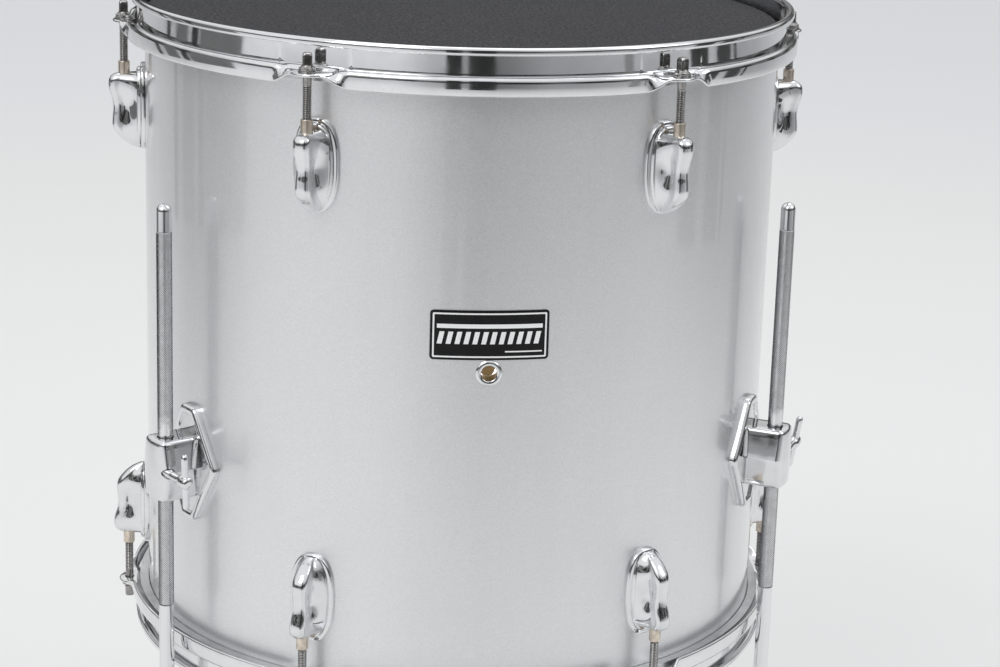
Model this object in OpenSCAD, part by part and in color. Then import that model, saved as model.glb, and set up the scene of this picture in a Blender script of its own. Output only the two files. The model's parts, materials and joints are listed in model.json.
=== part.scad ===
// Floor tom: a wrapped ply drum shell with two heads, twelve tension rods in swivel-nut lugs,
// and three height-adjustable legs held in cast brackets by wing screws.
//
// The origin is the centre of the batter head's playing surface. +Z points up along the drum's
// axis, and -Y points to the badge. A place around the drum is an angle from the badge, positive
// towards +X. All sizes are in millimetres.

/* [Shell] */
// Outside diameter of the wrapped shell
shell_d = 406.4; // [380:0.1:430]
// Distance between the two playing surfaces
head_to_head = 396.1; // [380:0.1:420]
// Thickness of the wood plies
ply_t = 7; // [6:0.5:8]
// Thickness of the plastic wrap
wrap_t = 0.6; // [0.4:0.1:0.8]

/* [Heads and hoops] */
// Thickness of the head film
film_t = 0.3; // [0.2:0.05:0.5]
// Height of the hoop's lip above the head
lip_h = 10.5; // [9:0.5:12]
// Depth of the hoop's skirt below the head
skirt_depth = 17; // [16:0.5:18]
// Thickness of the hoop's steel
hoop_t = 2; // [1.6:0.1:2.3]

/* [Tension rods and lugs] */
// Radius from the drum's axis to each tension rod
rod_circle_r = 216.25; // [216:0.05:216.5]
// Diameter of a tension rod
rod_d = 5.3; // [5:0.1:5.5]
// Depth of a lug's centre below the head
lug_depth = 64.4; // [62:0.1:68]
// Height of a lug's base plate
lug_h = 56; // [54:1:58]
// Width of a lug's base plate
lug_w = 29; // [28:1:32]

/* [Leg brackets] */
// Angle between each bracket and the middle of its gap between lugs
bracket_turn = 1.5; // [0:0.1:3]
// Depth of the brackets' centres below the head
bracket_depth = 268; // [220:1:280]
// Height of a bracket's base plate
bracket_h = 74; // [70:1:78]
// Width of a bracket's base plate across its side corners
bracket_w = 58; // [56:1:62]
// Radius from the drum's axis to each leg
leg_circle_r = 222.8; // [222.5:0.1:223.5]
// Diameter of a leg rod
leg_d = 9.5; // [9:0.1:9.6]

/* [Legs] */
// Depth of the top of a leg below the head
leg_top_depth = 101.6; // [95:0.1:140]
// Depth of the floor below the head
floor_depth = 620; // [600:1:640]
// How far each foot stands outside the straight part of its leg
foot_out = 36; // [30:1:44]

/* [Badge and vent] */
// Width of the badge
badge_w = 70; // [60:1:80]
// Height of the badge
badge_h = 30; // [26:1:32]
// Depth of the badge's centre below the head
badge_depth = 159.6; // [155:0.1:162]
// Depth of the air vent's centre below the head
vent_depth = 182.7; // [182:0.1:186]

/* [Hidden] */

$fn = 64;
eps = 0.01;

shell_r = shell_d / 2;
ply_outer_r = shell_r - wrap_t;
ply_inner_r = ply_outer_r - ply_t;
mid_z = -head_to_head / 2;
shell_top_z = -film_t;
shell_h = head_to_head - 2 * film_t;

// The bearing edge is a 45 degree cut inside and a smaller one outside its crest.
edge_r = shell_r - 2.7;
edge_inner_drop = edge_r - ply_inner_r;
edge_outer_drop = ply_outer_r - edge_r;
wrap_gap = 1;
wrap_top_z = shell_top_z - edge_outer_drop - wrap_gap;

// The head's collar runs down just outside the wrap into the flesh hoop.
collar_gap = 0.1;
collar_r = shell_r + collar_gap;
collar_top_z = -collar_r + edge_r;
hem_z = -9.5;
hem_r = collar_r + film_t + 3;
flesh_hoop_w = 5.6;
flesh_hoop_top_z = -7.6;
flesh_hoop_h = 6.8;
slot_gap = 0.05;
flesh_hoop_r = collar_r + film_t + slot_gap;

// The hoop is one bent sheet: a lip, an upright wall, a shoulder and a skirt.
wall_r = shell_r + 4.6;
skirt_r = shell_r + 11.6;
lip_r = wall_r + 4.2;
lip_drop = 4;
shoulder_z = -7.4;
ear_drop = 8.7;
ear_r = 6.8;
notch_w = 38;
riser_lap = 1;

// Angles around the drum. The lugs straddle the badge, and the legs stand between lugs.
lug_count = 6;
lug_step = 360 / lug_count;
function lug_angle(i) = -lug_step / 2 + lug_step * i;
leg_count = 3;
function leg_angle(i) = bracket_turn - 60 + 120 * i;
badge_turn = -0.4;

// Tension rods
head_w = 5.6;
head_top = 10.4;
collar_cone_h = 3.5;
collar_h = 2;
rod_collar_r = 4.9;
washer_r = 5.3;
washer_t = 1.2;
rod_length = 60;
rod_play = 0.07;
ear_hole_r = 3.2;

// Swivel nuts. Depths are below the batter head, and the flange's place is from the lug's centre.
nut_r = 3.6;
nut_play = 0.15;
nut_top_depth = 35.5;
nut_flange_r = 4.8;
nut_flange_h = 3.8;
nut_flange_z = 6.2;
nut_bore_r = rod_d / 2 + rod_play;

// Lug castings
lug_top_z = 21.4;
lug_bottom_z = -26.7;
lug_flange_t = 2.8;
lug_ridge_t = 2.6;
lug_ridge_in = 3;
lug_out = 23;
pocket_w = 10;
pocket_depth = 18;
rod_well_r = 3.1;
rod_well_z = -10;
lug_screw_z = 17;
lug_screw_r = 2;
lug_screw_depth = 7;
lug_screw_head_r = 3.9;
lug_screw_head_h = 2.6;
lug_washer_r = 5.5;
lug_washer_t = 1;
thread_play = 0.05;
oval_steps = 48;

// Castings and the badge stand this far off the wrap, so that they touch nothing but their screws.
seat_gap = 0.05;
seat_r = shell_r + seat_gap;
// Flat washers and plates bear on the shell's curved inside with this much room behind their middles.
inside_gap = 0.3;
inside_seat_r = ply_inner_r - inside_gap;

// Brackets
plate_t = 3.4;
rim_t = 5;
rim_w = 5;
plate_end_w = 15;
block_h = 39;
block_end_w = 22;
block_ridge_w = 28;
block_out = 30;
nose_r = 28;
leg_hole_r = leg_d / 2 + 0.45;
wing_screw_out = 5.2;
bracket_screw_z = 12;
bracket_screw_r = 3;
bracket_screw_depth = 10;
bracket_screw_head_r = 5.5;
bracket_screw_head_h = 4;
backing_t = 2;
backing_w = 20;
backing_margin = 10;

// Wing screws
wing_r = 2.3;
wing_span = 36;
wing_y = 32;
hub_r = 4;
hub_start_y = 28;
hub_h = 8.5;
screw_r = 2.65;
screw_tip_y = 4.1;
mouth_r = 3.4;
mouth_depth = 5;

// Legs
leg_r = leg_d / 2;
leg_plain_r = leg_r - 0.1;
knurl_start = 17.2;
knurl_length = 239.7;
bend_start_depth = 455;
bend_r = 45;
bend_angle = 22;
bend_lap = 1;
bend_rise = bend_r * sin(bend_angle);
slant_length = (foot_out - 2 * bend_r * (1 - cos(bend_angle))) / sin(bend_angle);
foot_h = 34;
foot_r = 13;
foot_top_r = 8.5;
foot_hole_depth = 26;

// Badge and vent
badge_t = 0.7;
badge_corner_r = 2.2;
vent_hole_r = 5;
vent_flange_r = 7.9;
vent_flange_t = 1.3;
vent_barrel_r = 6.2;
vent_ring_r = 9.5;
vent_ring_t = 2;
shell_hole_play = 0.15;

// Places children at an angle round the drum: their x runs outwards, and y runs round it.
module around(angle) {
  rotate([0, 0, angle - 90]) children();
}

// Flips children from the batter end to the resonant end.
module at_bottom() {
  translate([0, 0, 2 * mid_z]) mirror([0, 0, 1]) children();
}

// A cylinder that points outwards, from radius x to the radius x + length.
module outward(r, x, length) {
  translate([x, 0, 0]) rotate([0, 90, 0]) cylinder(r = r, h = length);
}

module tube(outer, inner, z, h) {
  translate([0, 0, z]) difference() {
    cylinder(r = outer, h = h, $fn = 180);
    translate([0, 0, -1]) cylinder(r = inner, h = h + 2, $fn = 180);
  }
}

// Turns an outline of [y, z] points into a prism that points outwards from radius x.
module outward_prism(x, length) {
  translate([x, 0, 0]) rotate([90, 0, 90]) linear_extrude(height = length) children();
}

// ---------- shell ----------

// Every screw hole and the vent hole, as drills that pass the whole shell wall.
module shell_drills() {
  start = ply_inner_r - 10;
  length = shell_r + 10 - start;
  for (i = [0 : lug_count - 1]) around(lug_angle(i)) for (side = [-1, 1]) {
    translate([0, 0, -lug_depth + side * lug_screw_z])
      outward(lug_screw_r + shell_hole_play, start, length);
    translate([0, 0, 2 * mid_z + lug_depth + side * lug_screw_z])
      outward(lug_screw_r + shell_hole_play, start, length);
  }
  for (i = [0 : leg_count - 1]) around(leg_angle(i)) for (side = [-1, 1])
    translate([0, 0, -bracket_depth + side * bracket_screw_z])
      outward(bracket_screw_r + shell_hole_play, start, length);
  around(badge_turn) translate([0, 0, -vent_depth])
    outward(vent_barrel_r + shell_hole_play, start, length);
}

module shell_ply() {
  bottom_z = shell_top_z - shell_h;
  color("burlywood") difference() {
    rotate_extrude($fn = 180) polygon([
      [ply_inner_r, bottom_z + edge_inner_drop], [edge_r, bottom_z],
      [ply_outer_r, bottom_z + edge_outer_drop], [ply_outer_r, shell_top_z - edge_outer_drop],
      [edge_r, shell_top_z], [ply_inner_r, shell_top_z - edge_inner_drop]
    ]);
    shell_drills();
  }
}

module shell_wrap() {
  color("gainsboro") difference() {
    tube(shell_r, ply_outer_r, 2 * mid_z - wrap_top_z, 2 * (wrap_top_z - mid_z));
    shell_drills();
  }
}

// ---------- heads and hoops ----------

// A flat film that turns down over the bearing edge and ends in the flesh hoop's slot.
module head_film() {
  rotate_extrude($fn = 180) polygon([
    [0, -film_t], [edge_r + 0.2, -film_t], [collar_r, collar_top_z - film_t],
    [collar_r, hem_z - film_t], [hem_r, hem_z - film_t], [hem_r, hem_z],
    [collar_r + film_t, hem_z], [collar_r + film_t, collar_top_z], [edge_r + 0.4, 0], [0, 0]
  ]);
}

// A ring with a slot round its inside that holds the film's hem.
module flesh_hoop() {
  difference() {
    tube(flesh_hoop_r + flesh_hoop_w, flesh_hoop_r, flesh_hoop_top_z - flesh_hoop_h, flesh_hoop_h);
    tube(hem_r + slot_gap, flesh_hoop_r - 1, hem_z - film_t - slot_gap, film_t + 2 * slot_gap);
  }
}

module batter_head() { color("dimgray") head_film(); }
module resonant_head() { color("whitesmoke") at_bottom() head_film(); }
module batter_flesh_hoop() { color("lightgray") flesh_hoop(); }
module resonant_flesh_hoop() { color("lightgray") at_bottom() flesh_hoop(); }

// Cross-section of the hoop's sheet, from the rolled lip down to the skirt's edge.
module hoop_profile() {
  wall_in = wall_r - hoop_t;
  polygon([
    [wall_in, shoulder_z], [wall_in, lip_h - 1], [wall_in + 1, lip_h],
    [lip_r - 1, lip_h], [lip_r, lip_h - 1], [lip_r, lip_h - lip_drop],
    [lip_r - hoop_t, lip_h - lip_drop], [lip_r - hoop_t, lip_h - hoop_t],
    [wall_r, lip_h - hoop_t], [wall_r, shoulder_z + hoop_t],
    [skirt_r - 2, shoulder_z + hoop_t - 0.6], [skirt_r, shoulder_z - 1],
    [skirt_r, -skirt_depth], [skirt_r - hoop_t, -skirt_depth], [skirt_r - hoop_t, shoulder_z]
  ]);
}

// A flat ear that carries one tension rod, and the riser that drops to it from the shoulder.
// The riser stands between the flesh hoop and the rod's washer.
module hoop_ear(riser_in, riser_out) {
  ear_z = -ear_drop - hoop_t;
  translate([0, 0, ear_z]) linear_extrude(height = hoop_t) union() {
    translate([rod_circle_r, 0]) circle(r = ear_r);
    polygon([
      [riser_in, -notch_w / 2], [rod_circle_r, -ear_r], [rod_circle_r, ear_r], [riser_in, notch_w / 2]
    ]);
  }
  translate([riser_in, -notch_w / 2, ear_z])
    cube([riser_out - riser_in, notch_w, shoulder_z + riser_lap - ear_z]);
}

module hoop() {
  notch_out = 20;
  riser_in = flesh_hoop_r + flesh_hoop_w + slot_gap;
  riser_out = rod_circle_r - washer_r - slot_gap;
  difference() {
    union() {
      difference() {
        rotate_extrude($fn = 180) hoop_profile();
        for (i = [0 : lug_count - 1]) around(lug_angle(i))
          translate([riser_out, -notch_w / 2, -skirt_depth - 1])
            cube([notch_out, notch_w, skirt_depth + shoulder_z + hoop_t + 2]);
      }
      for (i = [0 : lug_count - 1]) around(lug_angle(i)) hoop_ear(riser_in, riser_out);
    }
    for (i = [0 : lug_count - 1]) around(lug_angle(i))
      translate([rod_circle_r, 0, -ear_drop - hoop_t - 1]) cylinder(r = ear_hole_r, h = hoop_t + 2);
  }
}

module batter_hoop() { color("silver") hoop(); }
module resonant_hoop() { color("silver") at_bottom() hoop(); }

// ---------- tension rods, washers and swivel nuts ----------

// A square-headed rod with a coned collar. It stands on its washer on the hoop's ear.
module tension_rod() {
  seat_z = -ear_drop + washer_t;
  color("slategray") translate([rod_circle_r, 0, 0]) {
    translate([0, 0, seat_z - rod_length]) cylinder(r = rod_d / 2, h = rod_length);
    translate([0, 0, seat_z]) cylinder(r = rod_collar_r, h = collar_h);
    translate([0, 0, seat_z + collar_h])
      cylinder(r1 = rod_collar_r - 0.6, r2 = head_w / 2, h = collar_cone_h - collar_h);
    intersection() {
      translate([-head_w / 2, -head_w / 2, seat_z + collar_h]) cube([head_w, head_w, head_top - collar_h]);
      translate([0, 0, seat_z]) cylinder(r1 = head_w, r2 = head_w / 2 + 0.3, h = head_top);
    }
  }
}

module rod_washer() {
  translate([rod_circle_r, 0, -ear_drop]) difference() {
    cylinder(r = washer_r, h = washer_t);
    translate([0, 0, -1]) cylinder(r = ear_hole_r - 0.3, h = washer_t + 2);
  }
}

module rod_washers() {
  color("slategray") for (i = [0 : lug_count - 1]) {
    around(lug_angle(i)) rod_washer();
    at_bottom() around(lug_angle(i)) rod_washer();
  }
}

module swivel_nut() {
  flange_z = -lug_depth + nut_flange_z;
  translate([rod_circle_r, 0, 0]) difference() {
    union() {
      translate([0, 0, flange_z]) cylinder(r = nut_r, h = -nut_top_depth - flange_z);
      translate([0, 0, flange_z]) cylinder(r = nut_flange_r, h = nut_flange_h);
    }
    translate([0, 0, flange_z - 1]) cylinder(r = nut_bore_r, h = 40);
  }
}

module swivel_nuts() {
  color("tan") for (i = [0 : lug_count - 1]) {
    around(lug_angle(i)) swivel_nut();
    at_bottom() around(lug_angle(i)) swivel_nut();
  }
}

// ---------- lugs ----------

// An upright oval plate, from radius x outwards.
module oval_plate(w, h, x, t) {
  outward_prism(x, t) polygon([
    for (k = [0 : oval_steps - 1]) let (a = 360 * k / oval_steps) [w / 2 * cos(a), h / 2 * sin(a)]
  ]);
}

// Side view of the lug's fin, from the shell outwards: two swells with a waist between them.
module fin_side() {
  polygon([
    [shell_r + 1, lug_top_z - 1], [rod_circle_r - 8, lug_top_z], [rod_circle_r + 5, lug_top_z],
    [shell_r + lug_out - 1, lug_top_z - 4], [shell_r + lug_out, 12], [shell_r + lug_out - 1.2, 8.5],
    [shell_r + lug_out - 3.2, 4.5], [shell_r + lug_out - 4, 0], [shell_r + lug_out - 3.2, -4],
    [shell_r + lug_out - 1.4, -9], [shell_r + lug_out - 1.2, -13.5],
    [shell_r + lug_out - 3.4, -19.5], [shell_r + lug_out - 7.5, -23.8],
    [shell_r + lug_out - 13, -26], [shell_r + 1, lug_bottom_z]
  ]);
}

// Plan view of the fin: wide at the shell, narrow at its outer ridge.
module fin_plan() {
  half = [[1, 10.5], [7, 9.2], [12, 7], [17, 5.6], [21, 4.2], [lug_out + 1, 2.4]];
  polygon(concat(
    [for (p = half) [shell_r + p[0], -p[1]]],
    [for (i = [len(half) - 1 : -1 : 0]) [shell_r + half[i][0], half[i][1]]]
  ));
}

module lug_casting() {
  color("silver") translate([0, 0, -lug_depth]) difference() {
    union() {
      intersection() {
        tube(shell_r + lug_flange_t, seat_r, -lug_h, 2 * lug_h);
        oval_plate(lug_w, lug_h, shell_r - 2, 10);
      }
      oval_plate(lug_w - 2 * lug_ridge_in, lug_h - 2 * lug_ridge_in,
                 shell_r + 1, lug_flange_t + lug_ridge_t - 1);
      intersection() {
        rotate([90, 0, 0]) translate([0, 0, -20]) linear_extrude(height = 40) fin_side();
        translate([0, 0, -lug_h]) linear_extrude(height = 2 * lug_h) fin_plan();
      }
    }
    // bore and pocket for the swivel nut, and a well for the rod's end
    translate([rod_circle_r, 0, nut_flange_z])
      cylinder(r = nut_r + nut_play, h = lug_h);
    translate([shell_r - 5, -pocket_w / 2, nut_flange_z - 0.5])
      cube([pocket_depth + 5, pocket_w, nut_flange_h + 0.6]);
    translate([rod_circle_r, 0, rod_well_z]) cylinder(r = rod_well_r, h = 20);
    for (side = [-1, 1]) translate([0, 0, side * lug_screw_z])
      outward(lug_screw_r + thread_play, shell_r - 5, lug_screw_depth + 5);
  }
}

module lug_top(i) { around(lug_angle(i)) lug_casting(); }
module lug_bottom(i) { at_bottom() around(lug_angle(i)) lug_casting(); }

// A pan-head screw from inside the shell into a casting. A washer or plate of thickness t is under its head.
module inside_screw(r, head_r, head_h, t, depth) {
  seat = inside_seat_r - t;
  outward(r, seat, shell_r + depth - seat);
  outward(head_r, seat - head_h, head_h);
}

module inside_washer(outer, inner, t) {
  difference() {
    outward(outer, inside_seat_r - t, t);
    outward(inner, inside_seat_r - 2 * t, 3 * t);
  }
}

module each_lug_screw() {
  for (i = [0 : lug_count - 1]) around(lug_angle(i)) for (side = [-1, 1]) {
    translate([0, 0, -lug_depth + side * lug_screw_z]) children();
    translate([0, 0, 2 * mid_z + lug_depth + side * lug_screw_z]) children();
  }
}

module lug_screws() {
  color("gray") each_lug_screw()
    inside_screw(lug_screw_r, lug_screw_head_r, lug_screw_head_h, lug_washer_t, lug_screw_depth - 1);
}

module lug_screw_washers() {
  color("lightgray") each_lug_screw() inside_washer(lug_washer_r, lug_screw_r + 0.2, lug_washer_t);
}

// ---------- leg brackets ----------

// A tall six-sided outline with its corners at mid-height, in [y, z].
module tall_hexagon(mid_w, end_w, h) {
  polygon([
    [mid_w / 2, 0], [end_w / 2, h / 2], [-end_w / 2, h / 2],
    [-mid_w / 2, 0], [-end_w / 2, -h / 2], [end_w / 2, -h / 2]
  ]);
}

module bracket_casting() {
  block_x = shell_r + block_out;
  screw_x = leg_circle_r + wing_screw_out;
  color("silver") translate([0, 0, -bracket_depth]) difference() {
    union() {
      intersection() {
        tube(shell_r + plate_t, seat_r, -bracket_h, 2 * bracket_h);
        outward_prism(shell_r - 10, 30) tall_hexagon(bracket_w, plate_end_w, bracket_h);
      }
      intersection() {
        tube(shell_r + rim_t, shell_r + 0.5, -bracket_h, 2 * bracket_h);
        outward_prism(shell_r - 10, 30) difference() {
          tall_hexagon(bracket_w, plate_end_w, bracket_h);
          tall_hexagon(bracket_w - 2.6 * rim_w, plate_end_w - rim_w, bracket_h - 2 * rim_w);
        }
      }
      intersection() {
        outward_prism(shell_r + 1, 40) tall_hexagon(block_ridge_w, block_end_w, block_h);
        translate([block_x - nose_r, 0, -block_h]) cylinder(r = nose_r, h = 2 * block_h, $fn = 120);
      }
    }
    translate([leg_circle_r, 0, -block_h]) cylinder(r = leg_hole_r, h = 2 * block_h);
    translate([screw_x, 0, 0]) rotate([-90, 0, 0]) cylinder(r = screw_r + 0.1, h = 30);
    translate([screw_x, block_ridge_w / 2 - mouth_depth, 0]) rotate([-90, 0, 0])
      cylinder(r = mouth_r, h = 30);
    for (side = [-1, 1]) translate([0, 0, side * bracket_screw_z])
      outward(bracket_screw_r + thread_play, shell_r - 10, bracket_screw_depth + 10);
  }
}

module bracket(i) { around(leg_angle(i)) bracket_casting(); }

module each_bracket_screw() {
  for (i = [0 : leg_count - 1]) around(leg_angle(i)) for (side = [-1, 1])
    translate([0, 0, -bracket_depth + side * bracket_screw_z]) children();
}

module bracket_screws() {
  color("gray") each_bracket_screw()
    inside_screw(bracket_screw_r, bracket_screw_head_r, bracket_screw_head_h, backing_t,
                 bracket_screw_depth - 1);
}

// One curved steel plate inside the shell behind each bracket, under both of its screws.
module bracket_backing_plates() {
  color("lightgray") for (i = [0 : leg_count - 1]) around(leg_angle(i))
    translate([0, 0, -bracket_depth]) difference() {
      outward_prism(inside_seat_r - backing_t, backing_t)
        square([backing_w, 2 * (bracket_screw_z + backing_margin)], center = true);
      for (side = [-1, 1]) translate([0, 0, side * bracket_screw_z])
        outward(bracket_screw_r + 0.3, ply_inner_r - 20, 40);
    }
}

// ---------- wing screws ----------

module wing_screw(i) {
  color("silver") around(leg_angle(i))
    translate([leg_circle_r + wing_screw_out, 0, -bracket_depth]) {
      rotate([-90, 0, 0]) translate([0, 0, screw_tip_y])
        cylinder(r = screw_r, h = wing_y - screw_tip_y);
      rotate([-90, 0, 0]) translate([0, 0, hub_start_y]) cylinder(r = hub_r, h = hub_h);
      translate([0, wing_y, -wing_span / 2 + wing_r]) cylinder(r = wing_r, h = wing_span - 2 * wing_r);
      for (side = [-1, 1]) translate([0, wing_y, side * (wing_span / 2 - wing_r)]) sphere(r = wing_r);
    }
}

// ---------- legs and feet ----------

// A round rod bent by bend_angle towards +x, entered at the origin from above. A bend is a
// little thicker than the straight rods, which lap into it by bend_lap.
module bend_out() {
  translate([bend_r, 0, 0]) rotate([-90, 0, 180]) rotate_extrude(angle = bend_angle, $fn = 120)
    translate([bend_r, 0]) circle(r = leg_r);
}

// The opposite bend, which turns the rod back to straight down. It ends at the origin.
module bend_back() {
  translate([-bend_r, 0, 0]) rotate([90, 0, 0]) rotate_extrude(angle = bend_angle, $fn = 120)
    translate([bend_r, 0]) circle(r = leg_r);
}

module leg(i) {
  knurl_top_z = -leg_top_depth - knurl_start;
  knurl_end_z = knurl_top_z - knurl_length;
  slant_drop = slant_length * cos(bend_angle);
  bend_back_z = -bend_start_depth - 2 * bend_rise - slant_drop;
  rod_end_z = -floor_depth + foot_h - foot_hole_depth;
  color("silver") around(leg_angle(i)) translate([leg_circle_r, 0, 0]) {
    translate([0, 0, -leg_top_depth - leg_plain_r]) sphere(r = leg_plain_r);
    translate([0, 0, knurl_top_z]) cylinder(r = leg_plain_r, h = knurl_start - leg_plain_r);
    translate([0, 0, knurl_end_z]) cylinder(r = leg_r, h = knurl_length);
    translate([0, 0, -bend_start_depth - bend_lap])
      cylinder(r = leg_plain_r, h = bend_start_depth + bend_lap + knurl_end_z);
    translate([0, 0, -bend_start_depth]) bend_out();
    translate([bend_r * (1 - cos(bend_angle)), 0, -bend_start_depth - bend_rise])
      rotate([0, 180 - bend_angle, 0]) translate([0, 0, -bend_lap])
        cylinder(r = leg_plain_r, h = slant_length + 2 * bend_lap);
    translate([foot_out, 0, bend_back_z]) bend_back();
    translate([foot_out, 0, rod_end_z])
      cylinder(r = leg_plain_r, h = bend_back_z + bend_lap - rod_end_z);
  }
}

module foot(i) {
  groove_z = foot_h - 8;
  color("#222222") around(leg_angle(i)) translate([leg_circle_r + foot_out, 0, -floor_depth])
    rotate_extrude($fn = 96) polygon([
      [0, 0], [foot_r - 1.5, 0], [foot_r, 1.5], [foot_r, 9], [foot_top_r + 0.8, groove_z - 2],
      [foot_top_r, groove_z], [foot_top_r, foot_h - 1], [foot_top_r - 1, foot_h],
      [leg_plain_r + 0.02, foot_h], [leg_plain_r + 0.02, foot_h - foot_hole_depth],
      [0, foot_h - foot_hole_depth]
    ]);
}

// ---------- badge and vent ----------

module badge() {
  color("black") around(badge_turn) intersection() {
    tube(shell_r + badge_t, seat_r, -badge_depth - badge_h, 2 * badge_h);
    translate([0, 0, -badge_depth]) outward_prism(shell_r - 5, 10) union() {
      square([badge_w, badge_h - 2 * badge_corner_r], center = true);
      square([badge_w - 2 * badge_corner_r, badge_h], center = true);
      for (sx = [-1, 1], sz = [-1, 1])
        translate([sx * (badge_w / 2 - badge_corner_r), sz * (badge_h / 2 - badge_corner_r)])
          circle(r = badge_corner_r, $fn = 32);
    }
  }
}

// A flanged tube that lines the vent hole.
module vent_grommet() {
  color("silver") around(badge_turn) translate([0, 0, -vent_depth]) difference() {
    union() {
      outward(vent_flange_r, shell_r, vent_flange_t);
      outward(vent_barrel_r, ply_inner_r - vent_ring_t - 0.5, shell_r - ply_inner_r + vent_ring_t + 1);
    }
    outward(vent_hole_r, ply_inner_r - 10, 40);
  }
}

module vent_lock_ring() {
  color("silver") around(badge_turn) translate([0, 0, -vent_depth]) difference() {
    outward(vent_ring_r, inside_seat_r - vent_ring_t, vent_ring_t);
    outward(vent_barrel_r + 0.05, ply_inner_r - 10, 40);
  }
}

shell_ply();
shell_wrap();
batter_head();
batter_flesh_hoop();
batter_hoop();
resonant_head();
resonant_flesh_hoop();
resonant_hoop();
badge();
vent_grommet();
vent_lock_ring();
for (i = [0 : lug_count - 1]) {
  lug_top(i);
  lug_bottom(i);
  around(lug_angle(i)) tension_rod();
  at_bottom() around(lug_angle(i)) tension_rod();
}
swivel_nuts();
rod_washers();
lug_screws();
lug_screw_washers();
bracket_screws();
bracket_backing_plates();
for (i = [0 : leg_count - 1]) {
  bracket(i);
  wing_screw(i);
  leg(i);
  foot(i);
}
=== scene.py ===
"""The look of a wrapped floor tom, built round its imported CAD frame. Everything is in metres.

A part is modelled in local axes and then placed: x points outwards from the drum's axis, y runs
round the drum and z points up. Parts of the resonant end are the batter end's, turned over.
"""
import json
import math

import bmesh
import bpy
from mathutils import Matrix, Vector


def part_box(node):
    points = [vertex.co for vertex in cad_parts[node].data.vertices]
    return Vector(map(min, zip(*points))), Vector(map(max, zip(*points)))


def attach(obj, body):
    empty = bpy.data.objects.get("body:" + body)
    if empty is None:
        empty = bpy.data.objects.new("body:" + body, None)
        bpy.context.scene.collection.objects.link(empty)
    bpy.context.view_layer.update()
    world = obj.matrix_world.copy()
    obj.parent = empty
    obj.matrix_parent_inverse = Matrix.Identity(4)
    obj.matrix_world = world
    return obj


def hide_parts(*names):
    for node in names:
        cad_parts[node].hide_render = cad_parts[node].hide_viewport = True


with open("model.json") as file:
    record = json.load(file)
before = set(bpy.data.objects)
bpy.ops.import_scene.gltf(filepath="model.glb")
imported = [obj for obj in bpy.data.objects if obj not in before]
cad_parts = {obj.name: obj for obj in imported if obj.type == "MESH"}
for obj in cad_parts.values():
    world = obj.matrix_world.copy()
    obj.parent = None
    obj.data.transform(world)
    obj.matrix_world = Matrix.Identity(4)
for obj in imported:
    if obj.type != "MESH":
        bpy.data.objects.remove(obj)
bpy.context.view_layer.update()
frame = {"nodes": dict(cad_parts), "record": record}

MM = 0.001


# ---------- sizes read from the frame ----------

def low(node):
    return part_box(node)[0]


def high(node):
    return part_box(node)[1]


def tall(node):
    return high(node).z - low(node).z


def middle_z(node):
    return (high(node).z + low(node).z) / 2


def turn_of(x, y):
    """Angle round the drum from the badge's side, positive towards +x."""
    return math.atan2(x, -y)


joints = {joint["name"]: joint for joint in frame["record"]["behaviour"]["joints"]}
END_COUNT = 6
LEG_COUNT = 3

SHELL_R = high("shell_wrap").x
WRAP_TOP = high("shell_wrap").z
MID_Z = middle_z("shell_wrap")
LIP_TOP = high("batter_hoop").z
SKIRT_BOTTOM = low("batter_hoop").z
FLOOR_Z = low("foot_1").z

rod_places = [joints[f"turn_rod_top_{i + 1}"]["pos_m"] for i in range(END_COUNT)]
LUG_TURNS = [turn_of(x, y) for x, y, z in rod_places]
ROD_R = math.hypot(*rod_places[0][:2])

wings = [joints[f"turn_wing_screw_{i + 1}"] for i in range(LEG_COUNT)]
LEG_TURNS = [math.atan2(wing["axis"][1], wing["axis"][0]) for wing in wings]
WING_OUT = 5.2 * MM
WING_Y = 32 * MM
LEG_R = math.sqrt(sum(v * v for v in wings[0]["pos_m"][:2]) - WING_Y ** 2) - WING_OUT
BRACKET_Z = wings[0]["pos_m"][2]

BADGE_TURN = turn_of(*((low("vent_grommet") + high("vent_grommet")) / 2).xy)
BADGE_Z = middle_z("badge")
BADGE_H = tall("badge")
BADGE_W = 70 * MM
VENT_Z = middle_z("vent_grommet")
LUG_H = tall("lug_top_1")
LUG_Z = middle_z("lug_top_1")
LUG_W = 29 * MM
LEG_TOP = high("leg_1").z
KNURL_TOP = LEG_TOP - 17.2 * MM
KNURL_END = KNURL_TOP - 239.7 * MM
FOOT_TOP = high("foot_1").z


# ---------- mesh helpers ----------

def mm(rows):
    """Rows of numbers in millimetres, turned into metres."""
    return [tuple(value * MM for value in row) for row in rows]


def around(steps, shift=0.0):
    """Evenly spaced angles round a circle."""
    return [2 * math.pi * (k + shift) / steps for k in range(steps)]


def outwards(turn):
    """The direction away from the drum's axis at an angle round it."""
    return Vector((math.sin(turn), -math.cos(turn), 0))


def axes_at(x_axis, y_axis, z_axis, spot):
    """The matrix of three axes that meet at a spot."""
    matrix = Matrix((x_axis, y_axis, z_axis)).transposed().to_4x4()
    matrix.translation = spot
    return matrix


def place(turn, z=0.0, at_bottom=False):
    """The matrix from a part's local axes to its place round the drum."""
    along = Vector((math.cos(turn), math.sin(turn), 0))
    up = Vector((0, 0, 1))
    if at_bottom:
        along, up, z = -along, -up, 2 * MID_Z - z
    return axes_at(outwards(turn), along, up, (0, 0, z))


def turned_at(x, degrees, axis):
    """A turn about an axis that lies x away from the drum's own."""
    centre = Matrix.Translation((x, 0, 0))
    return centre @ Matrix.Rotation(math.radians(degrees), 4, axis) @ centre.inverted()


def show(name, data):
    """A new object in the scene."""
    obj = bpy.data.objects.new(name, data)
    bpy.context.scene.collection.objects.link(obj)
    return obj


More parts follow.
